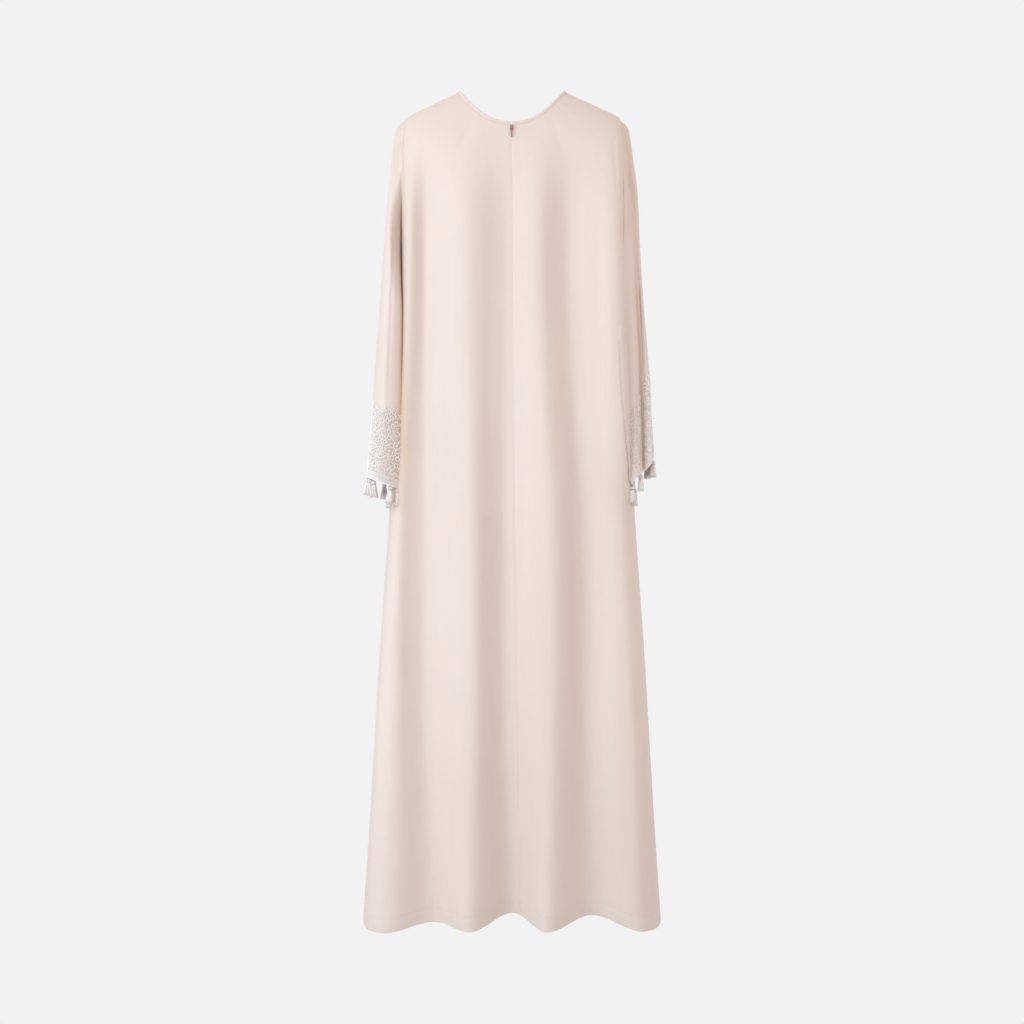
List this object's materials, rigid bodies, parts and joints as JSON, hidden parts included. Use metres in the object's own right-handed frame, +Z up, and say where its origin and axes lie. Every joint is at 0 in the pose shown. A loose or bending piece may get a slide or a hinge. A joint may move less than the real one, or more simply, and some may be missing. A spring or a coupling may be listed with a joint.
{
  "type": "kaftan",
  "caption": "Full-length straight kaftan, hollow and upright, with long hanging sleeves, beaded cuffs edged with tassels and a concealed zip at the back neck.",
  "frame": {"origin": "midway between the two neck points, where the wearer's shoulders carry the garment", "axes": "+Z up, -Y towards the back of the garment, +X towards the wearer's right"},
  "size_m": [0.5226, 0.3409, 1.4677],
  "materials": {
    "crepe": "blush crepe with a soft satin sheen",
    "zip_metal": "small brown metal",
    "tassel_thread": "silky pale thread"
  },
  "bodies": {
    "kaftan": {"back_left": "crepe", "back_right": "crepe", "front": "crepe", "sleeve_left": "crepe", "sleeve_right": "crepe", "neck_binding": "crepe", "zip_slider": "zip_metal", "tassel_trim_left": "tassel_thread", "tassel_trim_right": "tassel_thread"},
    "pull": {"zip_pull": "zip_metal"}
  },
  "joints": [
    {"name": "pull_hinge", "type": "hinge", "parent": "kaftan", "child": "pull", "pos_m": [-0.00048, -0.0881, -0.08072], "axis": [-1, 0, 0], "range_deg": [0, 165]}
  ]
}
